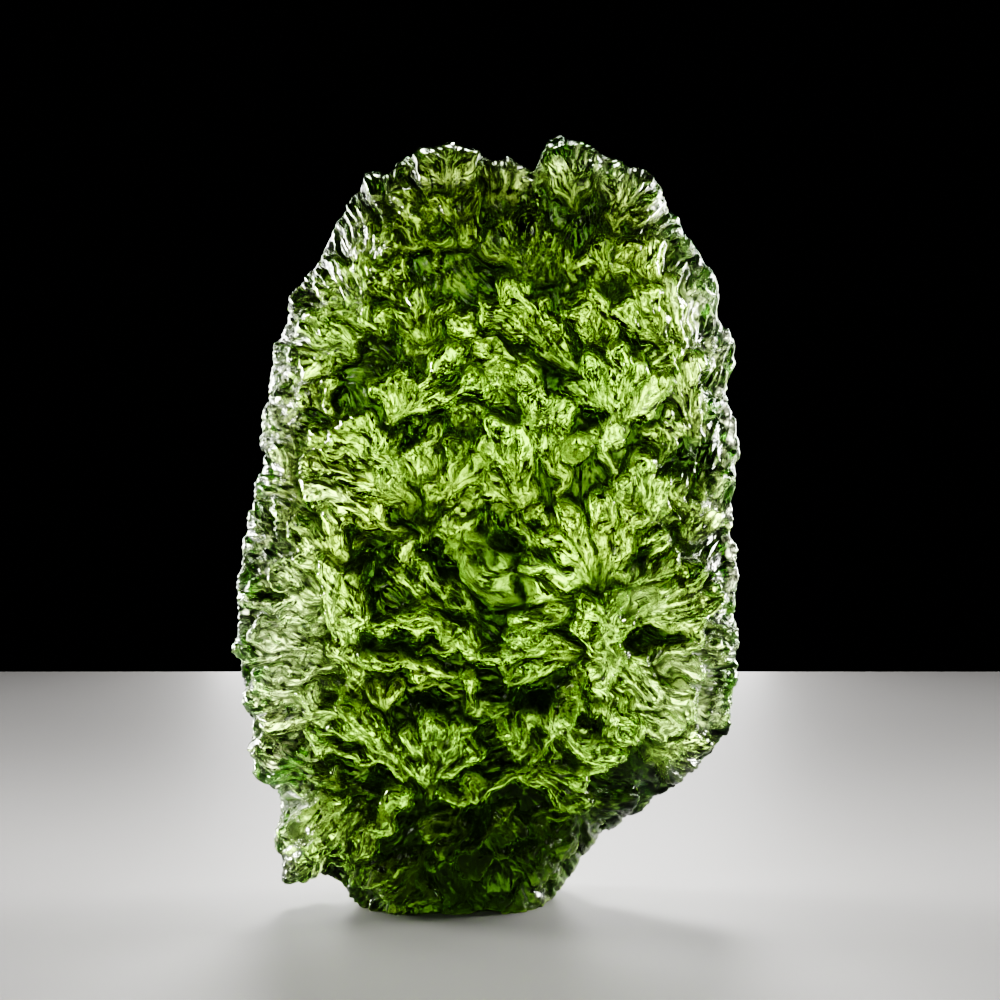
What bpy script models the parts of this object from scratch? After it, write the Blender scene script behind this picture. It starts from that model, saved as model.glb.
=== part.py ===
# Moldavite: one natural piece of green tektite glass, flattened like a pebble and etched all over
# into fronds of ridges with deep furrows, smooth dishes and a jagged thin rim.
# It stands on a small flat spot. The broad face looks along -Y, and Z points up.
# Lengths below are in millimetres and headings in degrees, 0 along +X and 90 straight up.

import math

import bmesh
import bpy
import numpy as np

MM = 0.001

# Driving sizes
HEIGHT = 40.0
FRONT_BULGE = 4.5
BACK_BULGE = 4.7
CENTRE_Z = 20.0
FOOT_DEPTH = 1.9
SKEW_AT_FOOT = 0.22
SKEW_FADES_AT = 12.0
RIM_WANDER = 0.7
BEAD_SHORTEST = 1.0
BEAD_LONGEST = 2.1
BEAD_HEIGHT = 0.42

# Fineness of the solid
ICO_LEVELS = 7
VOXEL = 0.27
MOST_TRIANGLES = 9600
SPINE_STEPS = 14
SEED = 41

# Relief, as heights above the bottom of the furrows
SINK = 0.62
RIB_SPACING = 0.72
RIB_HEIGHT = 0.16
ROOT_SHARE = 0.30
LEAFLETS = 620
LEAFLET_LENGTH = 1.5
LEAFLET_WIDTH = 0.52
LEAFLET_HEIGHT = 0.26
BACK_FANS = 30

# Outline seen from the front, clockwise from the tooth in the middle of the crown
OUTLINE = [
    (1.1, 39.0), (2.5, 38.0), (2.9, 39.5), (3.6, 40.0), (4.6, 39.8), (5.9, 39.1), (7.4, 38.4),
    (8.5, 38.0), (9.1, 36.5), (10.1, 34.9), (11.0, 33.7), (11.9, 32.2), (11.7, 31.0), (12.7, 29.5),
    (12.8, 28.4), (12.3, 27.4), (12.4, 26.1), (12.8, 25.6), (12.9, 23.0), (12.7, 20.9), (12.6, 19.3),
    (12.9, 17.8), (12.7, 15.7), (12.9, 13.6), (12.7, 11.0), (12.6, 9.2), (11.6, 7.9), (10.6, 6.8),
    (8.8, 5.6), (7.7, 4.7), (5.9, 3.5), (4.8, 2.0), (3.4, 0.0), (2.0, -FOOT_DEPTH),
    (-5.3, -FOOT_DEPTH), (-6.7, 0.2), (-7.8, 1.4), (-8.6, 1.8), (-10.7, 1.2), (-10.6, 2.4),
    (-11.2, 3.6), (-10.6, 4.9), (-10.9, 6.3), (-12.3, 8.2), (-12.2, 9.3), (-12.5, 12.0),
    (-12.9, 15.7), (-12.7, 17.6), (-12.1, 20.9), (-11.8, 22.4), (-11.3, 23.6), (-11.7, 24.5),
    (-11.1, 27.4), (-10.9, 29.2), (-10.3, 30.4), (-10.2, 31.9), (-9.3, 32.8), (-8.4, 33.8),
    (-7.8, 35.3), (-6.5, 37.2), (-6.2, 38.3), (-4.9, 38.1), (-3.9, 39.0), (-2.9, 39.5),
    (-1.6, 39.7), (-0.3, 39.1), (0.4, 38.5),
]

# How the lens thins towards the rim, by heading from the centre: the higher, the blunter
BLUNTNESS = [(-180, 2.0), (-135, 2.3), (-100, 9.0), (-75, 9.0), (-50, 3.4), (0, 2.2), (35, 2.6),
             (60, 4.2), (95, 5.0), (125, 4.2), (155, 2.4), (180, 2.0)]

# Fans of fronds on the front face: root x and z, heading, spread, number of fronds, length,
# half width, lift of the tips, and curl, the turn from root to tip
FANS = [
    # Crown and shoulders
    (-5.2, 36.5, 112, 0, 1, 1.9, 0.75, 0.5, 0),
    (-1.9, 36.9, 95, 60, 3, 2.4, 0.85, 0.5, 0),
    (1.1, 37.2, 90, 0, 1, 1.6, 0.5, 0.4, 0),
    (4.3, 36.9, 95, 44, 2, 2.6, 0.9, 0.6, 0),
    (6.4, 35.6, 58, 56, 3, 2.8, 0.7, 0.5, 0),
    (-0.8, 34.8, 112, 34, 2, 2.3, 0.7, 0.55, 0),
    (-2.7, 34.9, 128, 0, 1, 2.8, 0.6, 0.6, 8),
    (-6.6, 34.2, 48, 0, 1, 1.7, 0.4, 0.4, 0),
    (-4.3, 32.0, 118, 34, 2, 1.8, 0.6, 0.55, 0),
    (5.7, 32.3, 98, 18, 2, 2.3, 0.65, 0.65, 0),
    (4.3, 32.5, 100, 0, 1, 1.4, 0.5, 0.5, 0),
    (1.8, 33.4, 95, 96, 4, 2.5, 0.6, 0.38, 0),
    (8.0, 32.2, 108, 64, 3, 2.5, 0.6, 0.4, 0),
    (-6.2, 31.4, 140, 76, 4, 2.5, 0.6, 0.4, 0),
    # Upper half
    (4.3, 28.5, 136, 16, 2, 5.3, 0.95, 0.9, 6),
    (4.4, 27.4, 148, 0, 1, 6.3, 0.4, 0.5, -6),
    (6.1, 29.1, 115, 24, 2, 3.3, 0.7, 0.8, 0),
    (9.2, 29.0, 124, 26, 2, 3.7, 0.75, 0.7, 6),
    (10.2, 29.1, 106, 0, 1, 3.5, 0.6, 0.6, 0),
    (6.7, 25.1, 92, 78, 5, 3.9, 0.65, 0.9, 0),
    (3.2, 26.4, 122, 0, 1, 2.2, 0.7, 0.7, 0),
    (2.0, 24.9, 55, 42, 3, 2.9, 0.65, 0.7, -10),
    (-4.7, 25.8, 38, 22, 2, 5.3, 0.55, 0.95, -8),
    (-4.3, 25.8, 95, 52, 3, 2.3, 0.55, 0.7, 0),
    (-6.7, 29.2, 172, 64, 4, 3.0, 0.6, 0.6, 0),
    (-3.2, 29.9, 95, 74, 3, 2.0, 0.5, 0.5, 0),
    (10.2, 26.1, 108, 54, 3, 3.0, 0.6, 0.5, 0),
    # Middle
    (-3.8, 21.0, 137, 34, 4, 6.2, 0.65, 0.85, 34),
    (-4.3, 23.3, 132, 0, 1, 3.4, 0.65, 0.8, 0),
    (-5.8, 21.3, 165, 0, 1, 2.8, 0.8, 0.9, 0),
    (-3.2, 21.6, 48, 22, 2, 4.3, 0.55, 0.7, 46),
    (-3.0, 22.5, 105, 44, 2, 2.8, 0.7, 0.6, 0),
    (1.9, 21.7, 112, 28, 3, 3.9, 0.65, 0.7, 16),
    (4.0, 21.7, 108, 12, 2, 4.9, 0.45, 0.5, 14),
    (8.0, 19.0, 92, 32, 3, 4.7, 0.65, 0.85, 0),
    (6.4, 21.0, 90, 0, 1, 4.4, 0.4, 0.5, 0),
    (10.6, 19.7, 62, 56, 2, 1.8, 0.5, 0.5, 0),
    # The tall trunk right of the middle, its crown and its arms
    (6.2, 9.8, 93, 8, 2, 8.6, 0.65, 1.0, 4),
    (5.8, 17.0, 98, 108, 6, 4.8, 0.6, 0.95, 0),
    (6.2, 16.1, 38, 40, 3, 3.7, 0.5, 0.7, -14),
    (5.1, 16.3, 182, 30, 2, 4.1, 0.6, 0.7, 24),
    (7.0, 15.4, 16, 38, 4, 4.8, 0.6, 0.8, 8),
    (6.0, 15.5, -62, 28, 4, 6.9, 0.75, 1.0, 36),
    (8.0, 13.3, 8, 28, 2, 3.4, 0.55, 0.6, 0),
    (5.3, 13.6, 178, 26, 3, 4.9, 0.5, 0.8, 40),
    (5.2, 13.4, -112, 0, 1, 3.3, 0.5, 0.75, 20),
    # The left trunk and its feathers
    (-6.9, 10.9, 93, 8, 2, 8.9, 0.65, 0.9, 6),
    (-7.2, 15.9, 172, 42, 3, 5.0, 0.65, 0.75, 8),
    (-6.9, 13.6, 182, 28, 3, 5.6, 0.65, 0.8, 6),
    (-7.3, 11.4, 186, 32, 3, 5.0, 0.7, 0.8, 4),
    (-7.3, 17.9, 130, 54, 3, 3.0, 0.7, 0.8, 0),
    (0.9, 13.0, 158, 18, 3, 7.0, 0.5, 0.85, 42),
    (-2.1, 12.7, 165, 0, 1, 4.1, 0.55, 0.95, 22),
    (-4.2, 7.7, 146, 24, 3, 6.0, 0.65, 0.95, 30),
    (-8.1, 7.4, 172, 28, 2, 3.9, 0.75, 0.9, 0),
    (-3.0, 7.0, 76, 66, 4, 3.4, 0.6, 0.8, 0),
    # Bottom
    (3.0, 11.0, -33, 0, 1, 4.4, 0.75, 1.0, 56),
    (-7.3, 6.2, -135, 22, 2, 3.3, 0.85, 0.85, 0),
    (-7.2, 2.5, 56, 0, 1, 4.9, 0.65, 0.9, 0),
    (3.4, 8.0, 196, 0, 1, 5.3, 0.45, 0.85, 8),
    (2.3, 7.4, -12, 26, 2, 3.2, 0.6, 0.9, 0),
    (1.3, 5.9, -135, 0, 1, 2.9, 0.45, 0.85, 0),
    (-7.8, 3.6, -150, 44, 2, 2.8, 0.6, 0.5, 0),
    (-3.9, 3.4, -105, 66, 3, 2.8, 0.7, 0.5, 0),
    (-0.8, 5.8, -90, 130, 5, 3.1, 0.6, 0.45, 0),
    (4.9, 5.8, -58, 96, 4, 3.0, 0.6, 0.45, 0),
    (8.9, 8.8, -38, 66, 3, 2.6, 0.55, 0.5, 0),
]

# Smooth places where the relief fades: x, z, half length, half width, heading, level left there
WINDOWS = [
    (0.3, 18.1, 2.5, 1.35, -42, 0.42),
    (4.6, 24.5, 0.85, 0.8, 0, 1.0),
    (-5.8, 18.8, 1.5, 1.35, 80, 0.3),
    (10.1, 23.4, 1.6, 1.05, 80, 0.45),
    (7.7, 16.6, 1.1, 0.75, 10, 0.85),
    (-9.0, 5.4, 1.5, 0.8, 55, 0.8),
    (-2.8, 20.9, 0.5, 0.5, 0, 0.4),
]

# Dark pits and furrows: x, z, half length, half width, heading, depth
PITS = [
    (0.7, 19.9, 1.75, 0.62, -40, 1.7),
    (2.3, 11.6, 1.7, 0.6, 0, 1.2),
    (-4.4, 14.5, 2.5, 0.5, 3, 1.1),
    (8.8, 14.7, 1.5, 0.5, -8, 1.1),
    (11.4, 23.4, 2.1, 0.35, 93, 0.9),
    (-2.9, 11.5, 1.2, 0.5, 5, 1.0),
    (-7.2, 9.2, 1.6, 0.4, -20, 0.8),
    (-2.6, 18.8, 1.5, 0.65, -50, 0.9),
    (-0.3, 5.3, 1.0, 0.8, 80, 0.9),
    (5.4, 26.1, 1.0, 0.5, -10, 0.8),
    (3.5, 27.7, 1.3, 0.45, -42, 0.8),
    (-3.9, 24.8, 1.0, 0.5, 40, 0.9),
    (7.8, 18.8, 0.9, 0.55, 60, 0.9),
    (-11.0, 16.7, 0.9, 0.3, -5, 0.6),
    (-5.5, 7.3, 0.9, 0.6, 0, 0.9),
    (1.8, 17.2, 0.9, 0.3, -70, 0.7),
]


def smooth_step(low, high, value):
    """0 below low, 1 above high, and smooth in between."""
    share = np.clip((value - low) / (high - low), 0.0, 1.0)
    return share * share * (3.0 - 2.0 * share)


def clear_scene():
    for item in list(bpy.data.objects):
        bpy.data.objects.remove(item)


def outline_radius(angle):
    """Distance from the centre to the outline, for each angle in radians."""
    points = np.array(OUTLINE)
    angles = np.arctan2(points[:, 1] - CENTRE_Z, points[:, 0])
    radii = np.hypot(points[:, 0], points[:, 1] - CENTRE_Z)
    order = np.argsort(angles)
    return np.interp(angle, angles[order], radii[order], period=2 * math.pi)


def bead_height(angle, rng):
    """Height of the beads that notch the rim, for each angle in radians."""
    turn = np.linspace(-math.pi, math.pi, 1441)
    radius = outline_radius(turn)
    steps = np.hypot(np.diff(radius * np.cos(turn)), np.diff(radius * np.sin(turn)))
    run = np.concatenate([[0.0], np.cumsum(steps)])
    ends = np.cumsum(rng.uniform(BEAD_SHORTEST, BEAD_LONGEST, int(run[-1] / BEAD_SHORTEST)))
    tall = BEAD_HEIGHT * rng.uniform(0.45, 1.0, len(ends))
    place = np.interp(angle, turn, run)
    bead = np.searchsorted(ends, place)
    start = np.concatenate([[0.0], ends])[bead]
    share = (place - start) / (ends[bead] - start)
    return tall[bead] * np.sqrt(np.clip(1.0 - (2.0 * share - 1.0) ** 2, 0.0, 1.0))


def lens_points(unit, rng):
    """Points of the bare lens, before any relief, from the points of a unit sphere."""
    angle = np.arctan2(unit[:, 2], unit[:, 0])
    share = np.sqrt(np.clip(1.0 - np.abs(unit[:, 1]), 0.0, 1.0))
    blunt = np.array(BLUNTNESS)
    power = np.interp(np.degrees(angle), blunt[:, 0], blunt[:, 1])
    profile = np.sqrt(np.clip(1.0 - share ** power, 0.0, 1.0))
    bulge = np.where(unit[:, 1] < 0, FRONT_BULGE, BACK_BULGE)
    radius = outline_radius(angle) * share
    radius += (bead_height(angle, rng) - 0.6 * BEAD_HEIGHT) * smooth_step(0.88, 0.99, share)
    x = radius * np.cos(angle)
    z = CENTRE_Z + radius * np.sin(angle)
    y = np.sign(unit[:, 1]) * bulge * profile
    y += RIM_WANDER * np.sin(3.0 * angle + 0.8) * share ** 4
    y += SKEW_AT_FOOT * x * (1.0 - smooth_step(0.0, SKEW_FADES_AT, z))
    return np.column_stack([x, y, z])


def spine(root_x, root_z, heading, length, curl):
    """Points and unit tangents along a frond, from its root to its tip."""
    turns = np.radians(heading + curl * (np.linspace(0, 1, SPINE_STEPS) - 0.5))
    tangents = np.column_stack([np.cos(turns), np.sin(turns)])
    steps = (tangents[1:] + tangents[:-1]) / 2 * length / (SPINE_STEPS - 1)
    points = np.vstack([[0, 0], np.cumsum(steps, axis=0)]) + [root_x, root_z]
    return points, tangents


def open_fans(fans, rng):
    """Every frond of every fan, as (points, tangents, half width, lift)."""
    fronds = []
    for root_x, root_z, heading, spread, count, length, half, lift, curl in fans:
        for place in np.linspace(-0.5, 0.5, count) if count > 1 else [0.0]:
            shorter = 1.0 - 0.35 * abs(place) + rng.uniform(-0.06, 0.06)
            turned = heading + spread * place + rng.uniform(-3, 3)
            points, tangents = spine(root_x, root_z, turned, length * shorter, curl)
            fronds.append((points, tangents, half, lift * rng.uniform(0.92, 1.08)))
    return fronds


def nearest_on_spine(flat, points, tangents):
    """Share along the spine and signed distance across it, for each flat point."""
    gaps = flat[:, None, :] - points[None, :, :]
    nearest = np.argmin((gaps ** 2).sum(axis=2), axis=1)
    gap = gaps[np.arange(len(flat)), nearest]
    tangent = tangents[nearest]
    along = (gap * tangent).sum(axis=1)
    across = gap[:, 1] * tangent[:, 0] - gap[:, 0] * tangent[:, 1]
    past_end = ((nearest == 0) & (along < 0)) | ((nearest == len(points) - 1) & (along > 0))
    far = np.hypot(along, across) * np.where(across < 0, -1.0, 1.0)
    return nearest / (len(points) - 1), np.where(past_end, far, across)


def frond_relief(flat, fronds):
    """Height of the highest frond over each point, with its ribs, and the flow's direction."""
    height = np.zeros(len(flat))
    flow = np.zeros((len(flat), 2))
    for points, tangents, half, lift in fronds:
        reach = np.abs(points - points.mean(axis=0)).max() + 3.0 * half
        near = np.flatnonzero(np.abs(flat - points.mean(axis=0)).max(axis=1) < reach)
        if not len(near):
            continue
        share, across = nearest_on_spine(flat[near], points, tangents)
        wide = half * (0.6 + 0.5 * share)
        side = across / wide
        body = np.sqrt(np.clip(1.0 - np.abs(side) ** 2.4, 0.0, 1.0))
        ribs = max(2, round(2 * half / RIB_SPACING))
        rib = np.abs(np.cos(0.5 * math.pi * ribs * side))
        lifted = lift * (ROOT_SHARE + (1.0 - ROOT_SHARE) * share) * body
        height[near] = np.maximum(height[near], lifted + RIB_HEIGHT * rib * body)
        pull = np.exp(-((across / (1.6 * half)) ** 2))
        flow[near] += tangents[(share * (SPINE_STEPS - 1)).astype(int)] * pull[:, None]
    return height, flow


def oval_share(flat, x, z, half_length, half_width, heading):
    """0 at the middle of a tilted oval, 1 on its edge, and more outside."""
    c, s = math.cos(math.radians(heading)), math.sin(math.radians(heading))
    gap = flat - [x, z]
    along = gap[:, 0] * c + gap[:, 1] * s
    across = gap[:, 1] * c - gap[:, 0] * s
    return np.hypot(along / half_length, across / half_width)


def front_relief(flat, rng):
    height, flow = frond_relief(flat, open_fans(FANS, rng))
    calm = np.ones(len(flat))
    for x, z, half_length, half_width, heading, level in WINDOWS:
        mask = 1.0 - smooth_step(0.7, 1.1, oval_share(flat, x, z, half_length, half_width, heading))
        height = height * (1.0 - mask) + level * mask
        calm *= 1.0 - mask
    for x, z, half_length, half_width, heading, depth in PITS:
        mask = 1.0 - smooth_step(0.35, 1.15, oval_share(flat, x, z, half_length, half_width, heading))
        height -= depth * mask
    return height, flow, calm


def back_relief(flat, rng):
    """Fans of fronds on the hidden face, spread evenly and swirling about the middle."""
    spots = []
    while len(spots) < BACK_FANS:
        tries = np.column_stack([rng.uniform(-11, 11, 24), rng.uniform(2, 38, 24)])
        inside = np.hypot(tries[:, 0], tries[:, 1] - CENTRE_Z) < 0.92 * outline_radius(
            np.arctan2(tries[:, 1] - CENTRE_Z, tries[:, 0]))
        tries = tries[inside]
        gaps = [min((math.dist(t, s) for s in spots), default=99.0) for t in tries]
        spots.append(tuple(tries[int(np.argmax(gaps))]))
    fans = []
    for x, z in spots:
        outward = math.degrees(math.atan2(z - CENTRE_Z, x))
        swirl = 55 * math.sin(0.23 * z) + rng.uniform(-25, 25)
        fans.append((x, z, outward + swirl, rng.uniform(50, 110), int(rng.integers(3, 6)),
                     rng.uniform(3.2, 5.6), rng.uniform(0.55, 0.8), rng.uniform(0.55, 0.95),
                     rng.uniform(-35, 35)))
    height, flow = frond_relief(flat, open_fans(fans, rng))
    return height, flow, np.ones(len(flat))


def leaflet_relief(points, normals, flow, rng):
    """Small overlapping scales over the whole skin, laid along the flow."""
    height = np.zeros(len(points))
    for spot in rng.choice(len(points), LEAFLETS, replace=False):
        normal, along = normals[spot], flow[spot] + rng.normal(0, 0.25, 3)
        along = along - normal * (along @ normal)
        along /= np.linalg.norm(along) + 1e-9
        across = np.cross(normal, along)
        size = rng.uniform(0.7, 1.35)
        gap = points - points[spot]
        near = np.flatnonzero((gap ** 2).sum(axis=1) < (1.2 * LEAFLET_LENGTH * size) ** 2)
        gap = gap[near]
        u = gap @ along / (LEAFLET_LENGTH * size)
        v = gap @ across / (LEAFLET_WIDTH * size)
        w = gap @ normal / LEAFLET_WIDTH
        shape = np.sqrt(np.clip(1.0 - u ** 2 - v ** 2 - 0.2 * w ** 2, 0.0, 1.0))
        lifted = LEAFLET_HEIGHT * size * shape * (0.65 + 0.35 * u)
        height[near] = np.maximum(height[near], lifted)
    return height


def etched_points(points, normals, rng):
    """The lens with its relief: fronds, windows and pits on the faces, scales everywhere."""
    flat = points[:, [0, 2]]
    front, front_flow, calm = front_relief(flat, rng)
    back, back_flow, _ = back_relief(flat, rng)
    facing = smooth_step(-0.25, 0.25, -normals[:, 1])
    on_face = smooth_step(0.12, 0.55, np.abs(normals[:, 1]))
    height = front * facing + back * (1.0 - facing)
    flow2 = np.where(facing[:, None] > 0.5, front_flow, back_flow)
    flow = np.column_stack([flow2[:, 0], 0.35 * np.sign(points[:, 1]), flow2[:, 1]])
    calm = 1.0 - facing * (1.0 - calm)
    height = height * on_face + SINK * (1.0 - on_face)
    height += leaflet_relief(points, normals, flow, rng) * calm
    return points + normals * (height - SINK)[:, None]


def build_stone():
    mesh = bpy.data.meshes.new("moldavite")
    shape = bmesh.new()
    bmesh.ops.create_icosphere(shape, subdivisions=ICO_LEVELS, radius=1.0)
    shape.to_mesh(mesh)
    shape.free()
    unit = np.empty(len(mesh.vertices) * 3, np.float32)
    mesh.vertices.foreach_get("co", unit)
    rng = np.random.default_rng(SEED)
    points = lens_points(unit.reshape(-1, 3).astype(float), rng)
    mesh.vertices.foreach_set("co", points.astype(np.float32).ravel())
    mesh.update()
    normals = np.empty(len(points) * 3, np.float32)
    mesh.vertices.foreach_get("normal", normals)
    points = etched_points(points, normals.reshape(-1, 3).astype(float), rng)
    middle = (points.min(axis=0) + points.max(axis=0)) / 2
    points[:, :2] -= middle[:2]
    points[:, 2] *= HEIGHT / points[:, 2].max()
    mesh.vertices.foreach_set("co", (points * MM).astype(np.float32).ravel())
    mesh.update()
    stone = bpy.data.objects.new("moldavite", mesh)
    bpy.context.collection.objects.link(stone)
    return stone


def even_out(stone):
    """Closes any fold in the relief, then spends the triangles where the shape bends most."""
    remesh = stone.modifiers.new("even skin", "REMESH")
    remesh.mode = "VOXEL"
    remesh.voxel_size = VOXEL * MM
    triangulate = stone.modifiers.new("triangles", "TRIANGULATE")
    triangulate.quad_method = "SHORTEST_DIAGONAL"
    thin = stone.modifiers.new("facets", "DECIMATE")
    thin.decimate_type = "COLLAPSE"
    graph = bpy.context.evaluated_depsgraph_get()
    thin.show_viewport = False
    full = stone.evaluated_get(graph)
    thin.ratio = MOST_TRIANGLES / len(full.data.polygons)
    thin.show_viewport = True


def cut_foot(stone):
    """The flat spot: everything below the ground is cut away."""
    mesh = bpy.data.meshes.new("foot_cutter")
    shape = bmesh.new()
    bmesh.ops.create_cube(shape, size=1.0)
    bmesh.ops.scale(shape, vec=(40 * MM, 30 * MM, 6 * MM), verts=shape.verts)
    bmesh.ops.translate(shape, vec=(0, 0, -3 * MM), verts=shape.verts)
    shape.to_mesh(mesh)
    shape.free()
    cutter = bpy.data.objects.new("foot_cutter", mesh)
    bpy.context.collection.objects.link(cutter)
    cutter.hide_render = True
    cutter.display_type = "WIRE"
    cut = stone.modifiers.new("flat spot", "BOOLEAN")
    cut.operation = "DIFFERENCE"
    cut.solver = "EXACT"
    cut.object = cutter


def glass():
    material = bpy.data.materials.new("moldavite glass")
    material.use_nodes = True
    shader = material.node_tree.nodes["Principled BSDF"]
    shader.inputs["Base Color"].default_value = (0.13, 0.30, 0.035, 1.0)
    shader.inputs["Metallic"].default_value = 0.0
    shader.inputs["Roughness"].default_value = 0.12
    shader.inputs["IOR"].default_value = 1.49
    return material


clear_scene()
moldavite = build_stone()
moldavite.data.materials.append(glass())
even_out(moldavite)
cut_foot(moldavite)
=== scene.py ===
import math
import bpy
import numpy as np
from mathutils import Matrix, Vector


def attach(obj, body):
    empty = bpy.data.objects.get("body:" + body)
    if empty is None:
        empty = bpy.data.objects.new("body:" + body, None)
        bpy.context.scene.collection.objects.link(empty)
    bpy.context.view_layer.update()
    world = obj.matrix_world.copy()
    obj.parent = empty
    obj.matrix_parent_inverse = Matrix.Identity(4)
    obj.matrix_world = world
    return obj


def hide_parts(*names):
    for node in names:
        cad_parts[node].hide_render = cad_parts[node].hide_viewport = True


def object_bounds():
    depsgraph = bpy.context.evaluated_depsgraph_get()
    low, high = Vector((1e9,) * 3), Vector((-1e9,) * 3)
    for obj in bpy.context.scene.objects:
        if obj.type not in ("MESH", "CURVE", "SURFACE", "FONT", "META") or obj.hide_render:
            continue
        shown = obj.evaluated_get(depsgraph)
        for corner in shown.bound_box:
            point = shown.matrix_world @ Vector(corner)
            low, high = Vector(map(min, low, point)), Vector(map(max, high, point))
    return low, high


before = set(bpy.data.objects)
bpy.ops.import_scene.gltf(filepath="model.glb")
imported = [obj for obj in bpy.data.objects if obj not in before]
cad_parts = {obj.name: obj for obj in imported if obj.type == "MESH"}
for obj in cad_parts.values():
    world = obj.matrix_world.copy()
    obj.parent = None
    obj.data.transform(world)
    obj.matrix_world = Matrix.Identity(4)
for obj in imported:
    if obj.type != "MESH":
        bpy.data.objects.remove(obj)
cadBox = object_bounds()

mm = 0.001


def say(text):
    print("scene:", text)


def deselectAll():
    if bpy.context.object and bpy.context.object.mode != "OBJECT":
        bpy.ops.object.mode_set(mode="OBJECT")
    bpy.ops.object.select_all(action="DESELECT")


def makeActive(piece):
    deselectAll()
    piece.select_set(True)
    bpy.context.view_layer.objects.active = piece


def applyModifier(piece, kind, **settings):
    makeActive(piece)
    modifier = piece.modifiers.new(kind.lower(), kind)
    for key, value in settings.items():
        setattr(modifier, key, value)
    bpy.ops.object.modifier_apply(modifier=modifier.name)


def readPoints(mesh):
    flat = np.empty(len(mesh.vertices) * 3, np.float32)
    mesh.vertices.foreach_get("co", flat)
    return flat.reshape(-1, 3).astype(float)


def readNormals(mesh):
    flat = np.empty(len(mesh.vertices) * 3, np.float32)
    mesh.vertices.foreach_get("normal", flat)
    return flat.reshape(-1, 3).astype(float)


def writePoints(mesh, points):
    mesh.vertices.foreach_set("co", points.astype(np.float32).ravel())
    mesh.update()


def smoothStep(low, high, value):
    share = np.clip((value - low) / (high - low), 0.0, 1.0)
    return share * share * (3.0 - 2.0 * share)


# The stone. Lengths are in millimetres and headings in degrees, 0 to the right and 90 up.
# A pair is a range for a random draw, or where something starts to fade in and where it is full.
stone = {
    # bare lens
    "seed": 41, "centreZ": 20.0, "footDepth": 1.9, "frontBulge": 4.5, "backBulge": 4.7,
    "skewAtFoot": 0.22, "skewFadesAt": 12.0, "sphereCuts": 7, "lensSmoothing": 6,
    "rimWander": 0.7, "rimWaves": 3.0, "rimTurn": 0.8,
    # beads along the rim
    "beadShortest": 1.0, "beadLongest": 2.1, "beadHeight": 0.42, "beadVary": (0.45, 1.0),
    "beadMean": 0.6, "beadFade": (0.88, 0.99), "rimSteps": 1441,
    # fronds, with their shape across and along them
    "spineSteps": 14, "sink": 0.62, "liftScale": 1.35, "frondScale": 1.1, "backScale": 0.8,
    "sideShorter": 0.35, "lengthVary": (-0.06, 0.06), "headingVary": (-3, 3),
    "liftVary": (0.92, 1.08), "rootShare": 0.30, "rootWidth": 0.6, "tipWiden": 0.5,
    "bodyPower": 2.4, "frondReach": 1.2, "ribSpacing": 0.42, "ribHeight": 0.10,
    "fillerRibs": 0.5, "bareBelow": 0.12, "fillersFront": 90, "fillersBack": 110,
    # grids over the faces, and how the large forms are bent on them
    "cell": 0.045, "formsEvery": 2, "flowEvery": 4, "warp": 0.28, "warpWave": 1.8,
    "noiseBand": 0.45, "noiseSpread": 1.6, "faceFade": (0.12, 0.55), "faceEdge": 0.25,
    # the way the ridges run
    "flowOutward": 1e-4, "flowReach": 7.0, "splay": 0.45, "splayMost": 1.4, "pullWidth": 1.3,
    "farPull": 0.03, "farWidth": 4.0, "wander": 0.4, "wanderWave": 1.9, "rimFlow": 1.3,
    # combed ribs: wavelength, height and how many steps they are drawn out
    "fineSeed": 7, "ribs": [(0.62, 0.055, 20), (0.34, 0.09, 13)], "combStep": 0.08,
    "ribFade": (-1.5, 0.9), "fineEdge": 0.4, "fineSink": 0.5, "backCalm": 0.4,
    # scales
    "leafletsFront": 1500, "leafletsBack": 1300, "leafletLength": 0.95, "leafletWidth": 0.28,
    "leafletHeight": 0.075, "leafletVary": (0.6, 1.5), "leafletWobble": 0.14,
    "leafletFront": -0.1, "leafletTaper": 0.3, "leafletRise": 0.45, "leafletTip": 0.45,
    "leafletDepth": 2.0,
    # smooth windows, and pits that carry painted shade
    "windowFade": (0.7, 1.1), "windowSmooth": 0.6, "windowCalm": 0.9,
    "pitFade": (0.35, 1.15), "pitShade": 0.85, "pitShadeFade": (0.3, 1.2),
    # how much painted shade and painted light the glass carries
    "furrowRounds": 8, "furrowFade": (-0.02, 0.03), "furrowShare": 0.85,
    "valleyWidth": 1.2, "valleyFade": (-0.12, 0.34), "valleyShare": 0.96, "paleInValley": 0.5,
    "groundFade": (0.0, 0.8), "lowShare": 0.6, "paleWhenLow": 0.6,
    "lightAndShadeFade": (0.3, 1.25), "dimShare": 0.93, "backShade": 0.25, "rimFade": (0.86, 0.99),
    # fine threads, which are only bumped, with painted shade in the gaps between them
    "groundThread": 0.45, "threadWidth": 0.20, "threadLength": 0.8, "threadSplay": 0.35,
    "threadApart": 1.7, "threadSides": 0.8,
    # voxel sizes, and the final number of triangles
    "baseVoxel": 0.10, "skinVoxel": 0.075, "triangles": 196000,
}

# Fans of the hidden face: where they are tried, how they swirl, and the range of each measure
stone["backFan"] = {
    "number": 30, "tries": 24, "x": (-11, 11), "z": (2, 38), "inside": 0.92,
    "swirl": 55, "swirlRate": 0.23, "turn": (-25, 25), "spread": (50, 110), "count": (3, 6),
    "length": (3.2, 5.6), "half": (0.55, 0.8), "lift": (0.55, 0.95), "curl": (-35, 35),
}

# Small fans that fill the bare ground between the large fronds
stone["fillerFan"] = {
    "turn": (-30, 30), "spread": (30, 80), "count": (2, 5), "length": (1.4, 2.8),
    "half": (0.26, 0.42), "lift": (0.25, 0.6), "curl": (-25, 25),
}

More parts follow.
